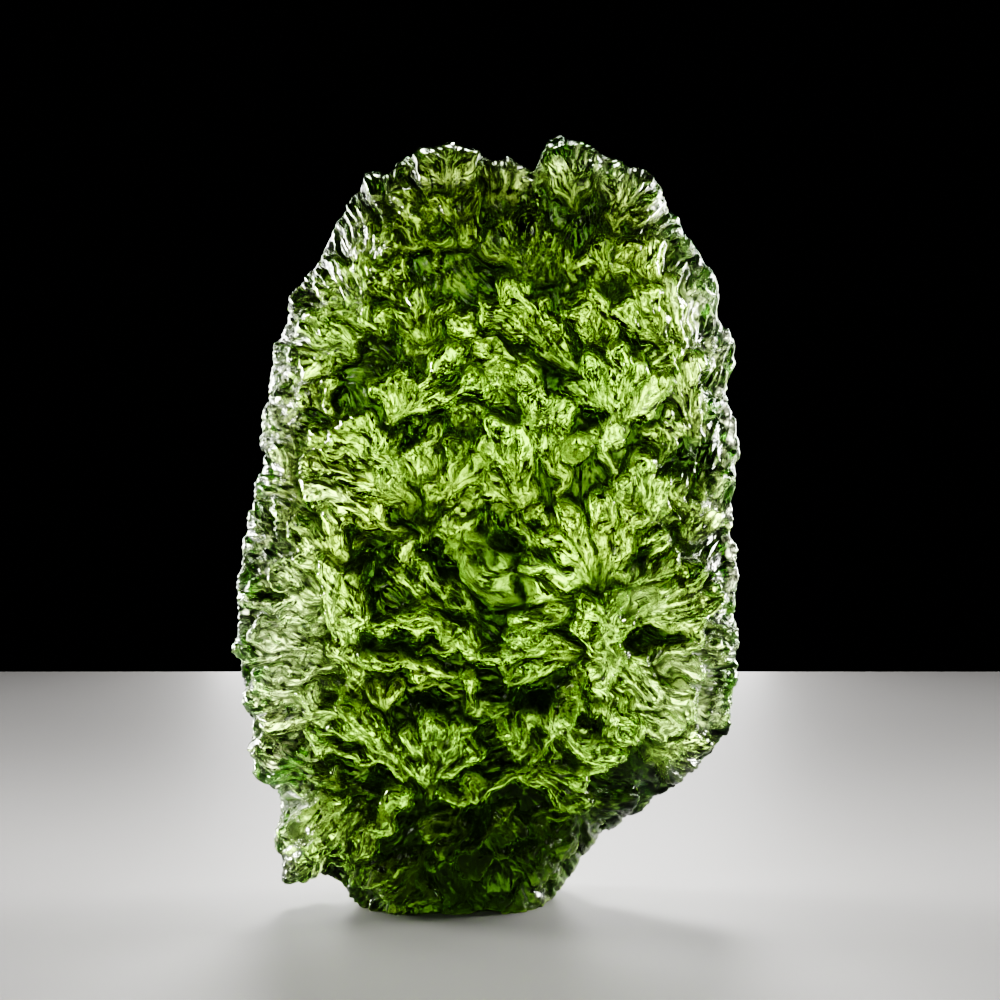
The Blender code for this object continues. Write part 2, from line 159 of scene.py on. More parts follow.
# Outline from the front, clockwise from the tooth in the middle of the crown
foot = -stone["footDepth"]
stone["outline"] = [
    (1.1, 39.0), (2.5, 38.0), (2.9, 39.5), (3.6, 40.0), (4.6, 39.8), (5.9, 39.1), (7.4, 38.4),
    (8.5, 38.0), (9.1, 36.5), (10.1, 34.9), (11.0, 33.7), (11.9, 32.2), (11.7, 31.0), (12.7, 29.5),
    (12.8, 28.4), (12.3, 27.4), (12.4, 26.1), (12.8, 25.6), (12.9, 23.0), (12.7, 20.9), (12.6, 19.3),
    (12.9, 17.8), (12.7, 15.7), (12.9, 13.6), (12.7, 11.0), (12.6, 9.2), (11.6, 7.9), (10.6, 6.8),
    (8.8, 5.6), (7.7, 4.7), (5.9, 3.5), (4.8, 2.0), (3.4, 0.0), (2.0, foot),
    (-5.3, foot), (-6.7, 0.2), (-7.8, 1.4), (-8.6, 1.8), (-10.7, 1.2), (-10.6, 2.4),
    (-11.2, 3.6), (-10.6, 4.9), (-10.9, 6.3), (-12.3, 8.2), (-12.2, 9.3), (-12.5, 12.0),
    (-12.9, 15.7), (-12.7, 17.6), (-12.1, 20.9), (-11.8, 22.4), (-11.3, 23.6), (-11.7, 24.5),
    (-11.1, 27.4), (-10.9, 29.2), (-10.3, 30.4), (-10.2, 31.9), (-9.3, 32.8), (-8.4, 33.8),
    (-7.8, 35.3), (-6.5, 37.2), (-6.2, 38.3), (-4.9, 38.1), (-3.9, 39.0), (-2.9, 39.5),
    (-1.6, 39.7), (-0.3, 39.1), (0.4, 38.5),
]

# The higher, the blunter the rim is there, by heading from the centre
stone["bluntness"] = [(-180, 2.0), (-135, 2.3), (-100, 9.0), (-75, 9.0), (-50, 3.4), (0, 2.2),
                      (35, 2.6), (60, 4.2), (95, 5.0), (125, 4.2), (155, 2.4), (180, 2.0)]

# Fans of fronds on the front face: root x and z, heading, spread, number of fronds, length,
# half width, lift of the tips, and curl, the turn from root to tip
stone["fans"] = [
    # crown and shoulders
    (-5.2, 36.5, 112, 0, 1, 1.9, 0.75, 0.5, 0),
    (-1.9, 36.9, 95, 60, 3, 2.4, 0.85, 0.5, 0),
    (1.1, 37.2, 90, 0, 1, 1.6, 0.5, 0.4, 0),
    (4.3, 36.9, 95, 44, 2, 2.6, 0.9, 0.6, 0),
    (6.4, 35.6, 58, 56, 3, 2.8, 0.7, 0.5, 0),
    (-0.8, 34.8, 112, 34, 2, 2.3, 0.7, 0.55, 0),
    (-2.7, 34.9, 128, 0, 1, 2.8, 0.6, 0.6, 8),
    (-6.6, 34.2, 48, 0, 1, 1.7, 0.4, 0.4, 0),
    (-4.3, 32.0, 118, 34, 2, 1.8, 0.6, 0.55, 0),
    (5.7, 32.3, 98, 18, 2, 2.3, 0.65, 0.65, 0),
    (4.3, 32.5, 100, 0, 1, 1.4, 0.5, 0.5, 0),
    (1.8, 33.4, 95, 96, 4, 2.5, 0.6, 0.38, 0),
    (8.0, 32.2, 108, 64, 3, 2.5, 0.6, 0.4, 0),
    (-6.2, 31.4, 140, 76, 4, 2.5, 0.6, 0.4, 0),
    # upper half
    (4.3, 28.5, 136, 16, 2, 5.3, 0.95, 0.9, 6),
    (4.4, 27.4, 148, 0, 1, 6.3, 0.4, 0.5, -6),
    (6.1, 29.1, 115, 24, 2, 3.3, 0.7, 0.8, 0),
    (9.2, 29.0, 124, 26, 2, 3.7, 0.75, 0.7, 6),
    (10.2, 29.1, 106, 0, 1, 3.5, 0.6, 0.6, 0),
    (6.7, 25.1, 92, 78, 5, 3.9, 0.65, 0.9, 0),
    (3.2, 26.4, 122, 0, 1, 2.2, 0.7, 0.7, 0),
    (2.0, 24.9, 55, 42, 3, 2.9, 0.65, 0.7, -10),
    (-4.7, 25.8, 38, 22, 2, 5.3, 0.55, 0.95, -8),
    (-4.3, 25.8, 95, 52, 3, 2.3, 0.55, 0.7, 0),
    (-6.7, 29.2, 172, 64, 4, 3.0, 0.6, 0.6, 0),
    (-3.2, 29.9, 95, 74, 3, 2.0, 0.5, 0.5, 0),
    (10.2, 26.1, 108, 54, 3, 3.0, 0.6, 0.5, 0),
    # middle
    (-3.8, 21.0, 137, 34, 4, 6.2, 0.65, 0.85, 34),
    (-4.3, 23.3, 132, 0, 1, 3.4, 0.65, 0.8, 0),
    (-5.8, 21.3, 165, 0, 1, 2.8, 0.8, 0.9, 0),
    (-3.2, 21.6, 48, 22, 2, 4.3, 0.55, 0.7, 46),
    (-3.0, 22.5, 105, 44, 2, 2.8, 0.7, 0.6, 0),
    (1.9, 21.7, 112, 28, 3, 3.9, 0.65, 0.7, 16),
    (4.0, 21.7, 108, 12, 2, 4.9, 0.45, 0.5, 14),
    (8.0, 19.0, 92, 32, 3, 4.7, 0.65, 0.85, 0),
    (6.4, 21.0, 90, 0, 1, 4.4, 0.4, 0.5, 0),
    (10.6, 19.7, 62, 56, 2, 1.8, 0.5, 0.5, 0),
    # the tall trunk right of the middle, its crown and its arms
    (6.1, 9.6, 92, 7, 2, 8.8, 0.75, 1.3, 4),
    (5.8, 17.0, 98, 108, 6, 4.8, 0.6, 0.95, 0),
    (6.2, 16.1, 38, 40, 3, 3.7, 0.5, 0.7, -14),
    (5.1, 16.3, 182, 30, 2, 4.1, 0.6, 0.7, 24),
    (7.0, 15.4, 16, 38, 4, 4.8, 0.6, 0.8, 8),
    (6.0, 15.5, -62, 28, 4, 6.9, 0.75, 1.0, 36),
    (8.0, 13.3, 8, 28, 2, 3.4, 0.55, 0.6, 0),
    (5.3, 13.6, 178, 26, 3, 4.9, 0.5, 0.8, 40),
    (5.2, 13.4, -112, 0, 1, 3.3, 0.5, 0.75, 20),
    # the left trunk and its feathers
    (-6.9, 10.9, 93, 8, 2, 8.9, 0.7, 1.1, 6),
    (-7.2, 15.9, 172, 42, 3, 5.0, 0.65, 0.75, 8),
    (-6.9, 13.6, 182, 28, 3, 5.6, 0.65, 0.8, 6),
    (-7.3, 11.4, 186, 32, 3, 5.0, 0.7, 0.8, 4),
    (-7.3, 17.9, 130, 54, 3, 3.0, 0.7, 0.8, 0),
    (0.9, 13.0, 158, 18, 3, 7.0, 0.5, 0.85, 42),
    (-2.1, 12.7, 165, 0, 1, 4.1, 0.55, 0.95, 22),
    (-4.2, 7.7, 146, 24, 3, 6.0, 0.65, 0.95, 30),
    (-8.1, 7.4, 172, 28, 2, 3.9, 0.75, 0.9, 0),
    (-3.0, 7.0, 76, 66, 4, 3.4, 0.6, 0.8, 0),
    # bottom
    (3.0, 11.0, -33, 0, 1, 4.4, 0.75, 1.0, 56),
    (-7.3, 6.2, -135, 22, 2, 3.3, 0.85, 0.85, 0),
    (-7.2, 2.5, 56, 0, 1, 4.9, 0.65, 0.9, 0),
    (3.4, 8.0, 196, 0, 1, 5.3, 0.45, 0.85, 8),
    (2.3, 7.4, -12, 26, 2, 3.2, 0.6, 0.9, 0),
    (1.3, 5.9, -135, 0, 1, 2.9, 0.45, 0.85, 0),
    (-7.8, 3.6, -150, 44, 2, 2.8, 0.6, 0.5, 0),
    (-3.9, 3.4, -105, 66, 3, 2.8, 0.7, 0.5, 0),
    (-0.8, 5.8, -90, 130, 5, 3.1, 0.6, 0.45, 0),
    (4.9, 5.8, -58, 96, 4, 3.0, 0.6, 0.45, 0),
    (8.9, 8.8, -38, 66, 3, 2.6, 0.55, 0.5, 0),
]

# Smooth places where the relief fades: x, z, half length, half width, heading, level left there
stone["windows"] = [
    (0.3, 18.1, 2.5, 1.35, -42, 0.42),
    (4.6, 24.5, 0.8, 0.65, 25, 1.0),
    (7.7, 16.6, 1.1, 0.75, 10, 0.85),
    (-9.0, 5.4, 1.5, 0.8, 55, 0.8),
    (-2.8, 20.9, 0.5, 0.5, 0, 0.4),
]

# Pits and furrows, which also carry painted shade: x, z, half length, half width, heading, depth
stone["pits"] = [
    (-5.8, 18.7, 1.8, 1.2, 70, 0.7),
    (10.1, 23.4, 1.8, 0.9, 80, 0.5),
    (0.7, 19.9, 1.75, 0.62, -40, 1.7),
    (2.3, 11.6, 1.7, 0.6, 0, 1.2),
    (-4.4, 14.5, 2.5, 0.5, 3, 1.1),
    (8.8, 14.7, 1.5, 0.5, -8, 1.1),
    (11.4, 23.4, 2.1, 0.35, 93, 0.9),
    (-2.9, 11.5, 1.2, 0.5, 5, 1.0),
    (-7.2, 9.2, 1.6, 0.4, -20, 0.8),
    (-2.6, 18.8, 1.5, 0.65, -50, 0.9),
    (-0.3, 5.3, 1.0, 0.8, 80, 0.9),
    (5.4, 26.1, 1.0, 0.5, -10, 0.8),
    (3.5, 27.7, 1.3, 0.45, -42, 0.8),
    (-3.9, 24.8, 1.0, 0.5, 40, 0.9),
    (7.8, 18.8, 0.9, 0.55, 60, 0.9),
    (-11.0, 16.7, 0.9, 0.3, -5, 0.6),
    (-5.5, 7.3, 0.9, 0.6, 0, 0.9),
    (1.8, 17.2, 0.9, 0.3, -70, 0.7),
]

# Broad places of painted light and painted shade on the front face: x, z, half length, half width,
# heading, and level, from -1 for the deepest painted shade to 1 for the brightest painted light
stone["tones"] = [
    # painted shade on the crown, foot and lower right corner
    (0.5, 36.4, 10.5, 5.0, 0, -0.62),
    (1.0, 2.0, 10.5, 5.6, 8, -1.0),
    (8.5, 5.8, 5.6, 3.1, 38, -1.0),
    # painted light on the edges
    (-10.2, 14.5, 3.0, 6.6, 0, 0.9),
    (-10.2, 6.0, 1.7, 3.6, -8, 1.0),
    (-10.4, 26.5, 1.6, 5.8, -8, 0.6),
    (-8.2, 21.6, 1.3, 1.6, 0, 0.6),
    (10.8, 31.8, 1.7, 5.0, 24, 0.9),
    (4.2, 39.2, 2.6, 1.2, 0, 0.9),
    (-2.8, 39.3, 2.4, 0.8, 0, 0.5),
    (9.9, 11.9, 2.8, 4.4, 0, 0.85),
    (7.6, 16.6, 1.7, 1.3, 0, 0.8),
    (4.6, 9.5, 2.0, 0.7, -20, 0.7),
    (6.3, 13.5, 0.9, 3.6, 0, 0.45),
    # painted shade in furrows and pits
    (9.2, 14.6, 2.0, 0.7, 0, -0.7),
    (0.4, 18.0, 2.8, 1.6, -42, -0.35),
    (0.6, 20.0, 2.3, 1.1, -40, -0.9),
    (-3.3, 20.8, 1.9, 1.6, 0, -0.75),
    (-1.2, 24.5, 1.4, 2.8, 30, -0.5),
    (3.6, 28.6, 3.6, 0.9, -48, -0.5),
    (-5.9, 18.6, 1.7, 2.0, 0, -0.7),
    (1.6, 11.6, 2.6, 1.2, 0, -0.85),
    (-4.6, 14.3, 3.2, 0.8, 0, -0.5),
    (10.9, 23.2, 1.3, 3.2, 0, -0.6),
    (4.6, 24.5, 1.1, 1.0, 0, -0.2),
    (-7.6, 26.5, 2.0, 3.4, 0, -0.35),
    (-3.0, 31.0, 3.6, 1.4, 20, -0.35),
    (-1.0, 16.0, 2.0, 1.6, 0, -0.4),
    (-2.0, 8.2, 1.2, 2.0, 0, -0.45),
]

# How much painted highlight the rim carries, by heading from the centre
stone["rimPale"] = [(-180, 0.9), (-130, 0.7), (-110, 0.1), (-50, 0.1), (-20, 0.7), (20, 0.8),
                    (60, 1.0), (90, 0.5), (130, 0.6), (180, 0.9)]


def aroundCentre(flat):
    # heading in radians, and distance, of each point from the middle of the face
    away = flat[:, 1] - stone["centreZ"]
    return np.arctan2(away, flat[:, 0]), np.hypot(flat[:, 0], away)


def outlineRadius(angle):
    angles, radii = aroundCentre(np.array(stone["outline"]))
    order = np.argsort(angles)
    return np.interp(angle, angles[order], radii[order], period=2 * math.pi)


def beadHeight(angle, rng):
    # the beads that notch the rim, of random length along it
    turn = np.linspace(-math.pi, math.pi, stone["rimSteps"])
    radius = outlineRadius(turn)
    steps = np.hypot(np.diff(radius * np.cos(turn)), np.diff(radius * np.sin(turn)))
    run = np.concatenate([[0.0], np.cumsum(steps)])
    count = int(run[-1] / stone["beadShortest"])
    ends = np.cumsum(rng.uniform(stone["beadShortest"], stone["beadLongest"], count))
    tall = stone["beadHeight"] * rng.uniform(*stone["beadVary"], len(ends))
    place = np.interp(angle, turn, run)
    bead = np.searchsorted(ends, place)
    start = np.concatenate([[0.0], ends])[bead]
    share = (place - start) / (ends[bead] - start)
    return tall[bead] * np.sqrt(np.clip(1.0 - (2.0 * share - 1.0) ** 2, 0.0, 1.0))


def lensPoints(unit, rng):
    # a unit sphere pressed into the bare lens, before any relief
    angle = np.arctan2(unit[:, 2], unit[:, 0])
    share = np.sqrt(np.clip(1.0 - np.abs(unit[:, 1]), 0.0, 1.0))
    blunt = np.array(stone["bluntness"])
    power = np.interp(np.degrees(angle), blunt[:, 0], blunt[:, 1])
    profile = np.sqrt(np.clip(1.0 - share ** power, 0.0, 1.0))
    bulge = np.where(unit[:, 1] < 0, stone["frontBulge"], stone["backBulge"])
    beads = beadHeight(angle, rng) - stone["beadMean"] * stone["beadHeight"]
    radius = outlineRadius(angle) * share
    radius += beads * smoothStep(*stone["beadFade"], share)
    x = radius * np.cos(angle)
    z = stone["centreZ"] + radius * np.sin(angle)
    y = np.sign(unit[:, 1]) * bulge * profile
    y += stone["rimWander"] * np.sin(stone["rimWaves"] * angle + stone["rimTurn"]) * share ** 4
    y += stone["skewAtFoot"] * x * (1.0 - smoothStep(0.0, stone["skewFadesAt"], z))
    return np.column_stack([x, y, z])


def spine(rootX, rootZ, heading, length, curl):
    steps = stone["spineSteps"]
    turns = np.radians(heading + curl * (np.linspace(0, 1, steps) - 0.5))
    tangents = np.column_stack([np.cos(turns), np.sin(turns)])
    moves = (tangents[1:] + tangents[:-1]) / 2 * length / (steps - 1)
    points = np.vstack([[0, 0], np.cumsum(moves, axis=0)]) + [rootX, rootZ]
    return points, tangents


def openFans(fans, ribHeight, rng):
    # each frond of the fans: its spine, half width, lift and the height of its ribs
    fronds = []
    for rootX, rootZ, heading, spread, count, length, half, lift, curl in fans:
        half *= stone["frondScale"]
        for place in np.linspace(-0.5, 0.5, count) if count > 1 else [0.0]:
            shorter = 1.0 - stone["sideShorter"] * abs(place) + rng.uniform(*stone["lengthVary"])
            turned = heading + spread * place + rng.uniform(*stone["headingVary"])
            points, tangents = spine(rootX, rootZ, turned, length * shorter, curl)
            lifted = stone["liftScale"] * lift * rng.uniform(*stone["liftVary"])
            fronds.append((points, tangents, half, lifted, ribHeight))
    return fronds


def drawFan(x, z, heading, vary, rng):
    # a fan with its measures drawn from their ranges, in the order of the list of fans
    spread, count = rng.uniform(*vary["spread"]), int(rng.integers(*vary["count"]))
    measures = [rng.uniform(*vary[key]) for key in ("length", "half", "lift", "curl")]
    return (x, z, heading, spread, count, *measures)


def backFans(rng):
    # fans on the hidden face, spread evenly and swirling about the middle
    vary = stone["backFan"]
    spots = []
    while len(spots) < vary["number"]:
        tries = np.column_stack([rng.uniform(*vary[axis], vary["tries"]) for axis in ("x", "z")])
        angle, distance = aroundCentre(tries)
        tries = tries[distance < vary["inside"] * outlineRadius(angle)]
        gaps = [min((math.dist(t, s) for s in spots), default=99.0) for t in tries]
        spots.append(tuple(tries[int(np.argmax(gaps))]))
    fans = []
    for x, z in spots:
        outward = math.degrees(math.atan2(z - stone["centreZ"], x))
        swirl = vary["swirl"] * math.sin(vary["swirlRate"] * z) + rng.uniform(*vary["turn"])
        fans.append(drawFan(x, z, outward + swirl, vary, rng))
    return fans


def nearestOnSpine(flat, points, tangents):
    # share of the way along the spine, and distance to its side
    gaps = flat[:, None, :] - points[None, :, :]
    nearest = np.argmin((gaps ** 2).sum(axis=2), axis=1)
    gap = gaps[np.arange(len(flat)), nearest]
    tangent = tangents[nearest]
    along = (gap * tangent).sum(axis=1)
    across = gap[:, 1] * tangent[:, 0] - gap[:, 0] * tangent[:, 1]
    pastEnd = ((nearest == 0) & (along < 0)) | ((nearest == len(points) - 1) & (along > 0))
    far = np.hypot(along, across) * np.where(across < 0, -1.0, 1.0)
    share = (nearest + along / math.dist(points[0], points[1])) / (len(points) - 1)
    return np.clip(share, 0.0, 1.0), np.where(pastEnd, far, across)


def frondRelief(flat, fronds):
    # height of the highest frond over each point, and where the point lies on its fine threads,
    # which leave the middle of the frond for its sides and tip
    height = np.zeros(len(flat))
    threads = np.column_stack([flat / stone["groundThread"], np.zeros(len(flat))])
    order = np.argsort(flat[:, 1])
    sortedZ = flat[order, 1]
    for number, (points, tangents, half, lift, ribHeight) in enumerate(fronds):
        middle = points.mean(axis=0)
        reach = np.abs(points - middle).max() + stone["frondReach"] * half
        low, high = np.searchsorted(sortedZ, middle[1] + np.array([-reach, reach]))
        near = order[low:high]
        near = near[np.abs(flat[near, 0] - middle[0]) < reach]
        if not len(near):
            continue
        share, across = nearestOnSpine(flat[near], points, tangents)
        side = across / (half * (stone["rootWidth"] + stone["tipWiden"] * share))
        body = np.sqrt(np.clip(1.0 - np.abs(side) ** stone["bodyPower"], 0.0, 1.0))
        ribs = max(2, round(2 * half / stone["ribSpacing"]))
        rib = np.abs(np.cos(0.5 * math.pi * ribs * side))
        rise = stone["rootShare"] + (1.0 - stone["rootShare"]) * share
        raised = lift * rise * body + ribHeight * rib * body
        higher = raised > height[near]
        near, share, across = near[higher], share[higher], across[higher]
        height[near] = raised[higher]
        along = share * math.dist(points[0], points[1]) * (len(points) - 1)
        threads[near] = np.column_stack([
            (np.abs(across) - stone["threadSplay"] * along) / stone["threadWidth"],
            along / stone["threadLength"],
            stone["threadApart"] * number + stone["threadSides"] * (across < 0)])
    return height, threads


# The faces are also laid out on grids over x and z: a fine one for the combed ribs, a coarser
# one for the large forms, and the coarsest for the way the ridges run
gridLow, gridHigh = np.array([-14.4, -3.6]), np.array([14.4, 43.2])
formCell, flowCell = stone["cell"] * stone["formsEvery"], stone["cell"] * stone["flowEvery"]
tiny = 1e-9  # keeps a length from being divided by zero


def gridShape(cell):
    return tuple(int(n) for n in np.round((gridHigh - gridLow) / cell))


def gridPoints(every):
    xs, zs = [low + stone["cell"] * (np.arange(0, size, every) + every / 2)
              for low, size in zip(gridLow, gridShape(stone["cell"]))]
    return np.stack(np.meshgrid(xs, zs, indexing="ij"), axis=-1)


def gridRates(shape, cell):
    # waves to the millimetre of each term in the grid's Fourier transform
    return np.hypot(np.fft.fftfreq(shape[0], cell)[:, None],
                    np.fft.rfftfreq(shape[1], cell)[None, :])


def waveNoise(wave, rng, cell):
    # even noise of one wavelength, about -1 to 1
    shape = gridShape(cell)
    rough = np.fft.rfft2(rng.standard_normal(shape))
    band = np.exp(-((gridRates(shape, cell) * wave - 1.0) / stone["noiseBand"]) ** 2)
    even = np.fft.irfft2(rough * band, shape)
    return even / (stone["noiseSpread"] * even.std())


def sampleGrid(grid, flat, cell):
    place = (flat - gridLow) / cell - 0.5
    i = np.clip(place[:, 0].astype(int), 0, grid.shape[0] - 2)
    j = np.clip(place[:, 1].astype(int), 0, grid.shape[1] - 2)
    p, q = np.clip(place[:, 0] - i, 0, 1), np.clip(place[:, 1] - j, 0, 1)
    if grid.ndim == 3:
        p, q = p[:, None], q[:, None]
    return ((grid[i, j] * (1 - p) + grid[i + 1, j] * p) * (1 - q)
            + (grid[i, j + 1] * (1 - p) + grid[i + 1, j + 1] * p) * q)


def flowGrid(fronds, rng):
    # the way the ridges run: along the nearest fronds, splayed to their sides, and wandering
    spots = gridPoints(stone["flowEvery"])
    flat = spots.reshape(-1, 2)
    flow = stone["flowOutward"] * (flat - [0, stone["centreZ"]])
    for points, tangents, half, _, _ in fronds:
        middle = points.mean(axis=0)
        near = np.flatnonzero(np.abs(flat - middle).max(axis=1) < stone["flowReach"])
        share, across = nearestOnSpine(flat[near], points, tangents)
        tangent = tangents[(share * (stone["spineSteps"] - 1)).astype(int)]
        turn = stone["splay"] * np.clip(across / half, -stone["splayMost"], stone["splayMost"])
        splayed = np.column_stack([tangent[:, 0] - turn * tangent[:, 1],
                                   tangent[:, 1] + turn * tangent[:, 0]])
        nearPull = np.exp(-((across / (stone["pullWidth"] * half)) ** 2))
        farPull = stone["farPull"] * np.exp(-((across / (stone["farWidth"] * half)) ** 2))
        flow[near] += splayed * (nearPull + farPull)[:, None]
    noise = waveNoise(stone["wanderWave"], rng, flowCell)
    turn = stone["wander"] * noise[:spots.shape[0], :spots.shape[1]].ravel()
    flow /= np.linalg.norm(flow, axis=1, keepdims=True) + tiny
    c, s = np.cos(turn), np.sin(turn)
    flow = np.column_stack([flow[:, 0] * c - flow[:, 1] * s, flow[:, 0] * s + flow[:, 1] * c])
    return flow.reshape(spots.shape)


def combedRibs(wave, reach, flow, rng):
    # noise drawn out along the flow, like combed threads: rounded crests and narrow furrows
    noise = waveNoise(wave, rng, stone["cell"])
    spots = gridPoints(1).reshape(-1, 2)
    total = noise.ravel().copy()
    for way in (1.0, -1.0):
        place = spots.copy()
        for step in range(reach):
            cells = ((place - gridLow) / flowCell).astype(int)
            i = np.clip(cells[:, 0], 0, flow.shape[0] - 1)
            j = np.clip(cells[:, 1], 0, flow.shape[1] - 1)
            place += way * stone["combStep"] * flow[i, j]
            total += (1.0 - step / reach) * sampleGrid(noise, place, stone["cell"])
    total /= total.std()
    return smoothStep(*stone["ribFade"], total).reshape(noise.shape)


def fillerFans(flat, height, flow, count, rng):
    # small fans for the bare ground between the large fronds, headed the way the ridges run
    vary = stone["fillerFan"]
    angle, distance = aroundCentre(flat)
    bare = np.flatnonzero((distance < outlineRadius(angle)) & (height < stone["bareBelow"]))
    spots = rng.choice(bare, count, replace=False)
    ways = sampleGrid(flow, flat[spots], flowCell)
    fans = []
    for (x, z), way in zip(flat[spots], ways):
        heading = math.degrees(math.atan2(way[1], way[0])) + rng.uniform(*vary["turn"])
        fans.append(drawFan(x, z, heading, vary, rng))
    return fans


def ovalMask(flat, oval, fade):
    # 1 in the middle of a tilted oval, fading to 0 near its edge, which is at a share of 1
    x, z, halfLength, halfWidth, heading = oval
    c, s = math.cos(math.radians(heading)), math.sin(math.radians(heading))
    gap = flat - [x, z]
    along = gap[:, 0] * c + gap[:, 1] * s
    across = gap[:, 1] * c - gap[:, 0] * s
    return 1.0 - smoothStep(*fade, np.hypot(along / halfLength, across / halfWidth))


def warped(flat, warp):
    bend = np.column_stack([sampleGrid(wave, flat, formCell) for wave in warp])
    return flat + stone["warp"] * bend


def largeForms(fronds, flow, fillers, rng):
    # the fronds of one face, with small ones added between them, and their height over the grid
    spots = gridPoints(stone["formsEvery"])
    warp = [waveNoise(stone["warpWave"], rng, formCell) for _ in range(2)]
    flat = warped(spots.reshape(-1, 2), warp)
    height = frondRelief(flat, fronds)[0]
    small = fillerFans(flat, height, flow, fillers, rng)
    fronds = fronds + openFans(small, stone["fillerRibs"] * stone["ribHeight"], rng)
    return flat, {"fronds": fronds, "warp": warp, "height": frondRelief(flat, fronds)[0]}


def frontForms(fronds, flow, rng):
    flat, form = largeForms(fronds, flow, stone["fillersFront"], rng)
    height = form["height"]
    for *oval, level in stone["windows"]:
        mask = ovalMask(flat, oval, stone["windowFade"])
        height = height * (1.0 - mask) + level * mask
    for *oval, depth in stone["pits"]:
        height -= depth * ovalMask(flat, oval, stone["pitFade"])
    form["height"] = height.reshape(form["warp"][0].shape)
    return form


def backForms(fronds, flow, rng):
    form = largeForms(fronds, flow, stone["fillersBack"], rng)[1]
    form["height"] = stone["backScale"] * form["height"].reshape(form["warp"][0].shape)
    return form


def frontShare(normals, edge):
    # 1 on the front face and 0 on the back, blended across the rim
    return smoothStep(-edge, edge, -normals[:, 1])


def faceShare(normals):
    # 1 on either face and 0 on the rim
    return smoothStep(*stone["faceFade"], np.abs(normals[:, 1]))


def onBothFaces(points, normals, grids):
    # a value read from the front and back grids
    front, back = [sampleGrid(grid, points[:, [0, 2]], formCell) for grid in grids]
    facing = frontShare(normals, stone["faceEdge"])
    return front * facing + back * (1.0 - facing)


def faceRelief(points, normals, forms):
    height = onBothFaces(points, normals, [form["height"] for form in forms])
    onFace = faceShare(normals)
    return height * onFace + stone["sink"] * (1.0 - onFace)


def valleys(height):
    # how far each spot of the grid lies below the ground around it
    rates = gridRates(height.shape, formCell)
    soft = np.exp(-2.0 * (math.pi * rates * stone["valleyWidth"]) ** 2)
    return np.fft.irfft2(np.fft.rfft2(height) * soft, height.shape) - height


def leafletRelief(points, normals, flow, rng):
    # small overlapping scales over the whole skin, laid along the flow and lifted at their tips
    order = np.argsort(points[:, 2])
    sortedZ = points[order, 2]
    height = np.zeros(len(points))
    onFront = normals[:, 1] < stone["leafletFront"]
    taper, rise, tipLength = stone["leafletTaper"], stone["leafletRise"], stone["leafletTip"]
    spots = np.concatenate([
        rng.choice(np.flatnonzero(onFront), stone["leafletsFront"], replace=False),
        rng.choice(np.flatnonzero(~onFront), stone["leafletsBack"], replace=False)])
    for spot in spots:
        normal, along = normals[spot], flow[spot] / (np.linalg.norm(flow[spot]) + tiny)
        along = along + rng.normal(0, stone["leafletWobble"], 3)
        along = along - normal * (along @ normal)
        along /= np.linalg.norm(along) + tiny
        across = np.cross(normal, along)
        size = rng.uniform(*stone["leafletVary"])
        length, width = stone["leafletLength"] * size, stone["leafletWidth"] * size
        low, high = np.searchsorted(sortedZ, points[spot, 2] + np.array([-length, length]))
        near = order[low:high]
        near = near[np.abs(points[near, 0] - points[spot, 0]) < length]
        gap = points[near] - points[spot]
        u = gap @ along / length
        v = gap @ across / (width * (1.0 - taper + taper * u))
        w = gap @ normal / (stone["leafletDepth"] * width)
        inside = (np.abs(u) < 1.0) & (v ** 2 + w ** 2 < 1.0)
        near, u, v = near[inside], u[inside], v[inside]
        # rounded at the tip and across, and higher towards the tip
        end = np.clip((u - (1.0 - tipLength)) / tipLength, 0.0, 1.0)
        tip = np.sqrt(np.clip(1.0 - end ** 2, 0.0, 1.0))
        lifted = (1.0 - rise + rise * u) * tip * np.sqrt(1.0 - v ** 2)
        lifted = lifted * stone["leafletHeight"] * size
        height[near] = np.maximum(height[near], lifted)
    return height


def fineRelief(points, normals, flows, rng):
    # scales and thin ribs, laid over the large forms
    flat = points[:, [0, 2]]
    facing = frontShare(normals, stone["fineEdge"])
    ribs = np.zeros(len(points))
    for wave, tall, reach in stone["ribs"]:
        front, back = [sampleGrid(combedRibs(wave, reach, flow, rng), flat, stone["cell"])
                       for flow in flows]
        ribs += tall * (front * facing + back * stone["backCalm"] * (1.0 - facing))
    say("ribs combed")
    front, back = [sampleGrid(flow, flat, flowCell) for flow in flows]
    flatFlow = np.where(facing[:, None] > 0.5, front, back)
    onFace = faceShare(normals)
    overRim = stone["rimFlow"] * (1.0 - onFace) * np.sign(points[:, 1] + 1e-6)
    flow = np.column_stack([flatFlow[:, 0] * onFace, overRim, flatFlow[:, 1] * onFace])
    scales = leafletRelief(points, normals, flow, rng)
    scales *= stone["backCalm"] + (1.0 - stone["backCalm"]) * facing
    calm = np.ones(len(points))
    for *oval, _ in stone["windows"]:
        mask = ovalMask(flat, oval, stone["windowFade"])
        calm *= 1.0 - stone["windowSmooth"] * mask * facing
    return (ribs + scales) * calm


def smoothed(values, edges, counts, rounds):
    # each point moves halfway to the mean of its neighbours, again and again
    for _ in range(rounds):
        total = np.zeros_like(values)
        for k in range(values.shape[1]):
            total[:, k] = (np.bincount(edges[:, 0], values[edges[:, 1], k], len(values))
                           + np.bincount(edges[:, 1], values[edges[:, 0], k], len(values)))
        values = 0.5 * values + 0.5 * total / counts[:, None]
    return values


def furrowDepth(mesh, points, normals):
    # how far each point lies under the smoothed skin around it
    edges = np.empty(len(mesh.edges) * 2, np.int32)
    mesh.edges.foreach_get("vertices", edges)
    edges = edges.reshape(-1, 2)
    counts = np.maximum(np.bincount(edges.ravel(), minlength=len(points)), 1)
    near = smoothed(points, edges, counts, stone["furrowRounds"])
    return ((near - points) * normals).sum(axis=1)


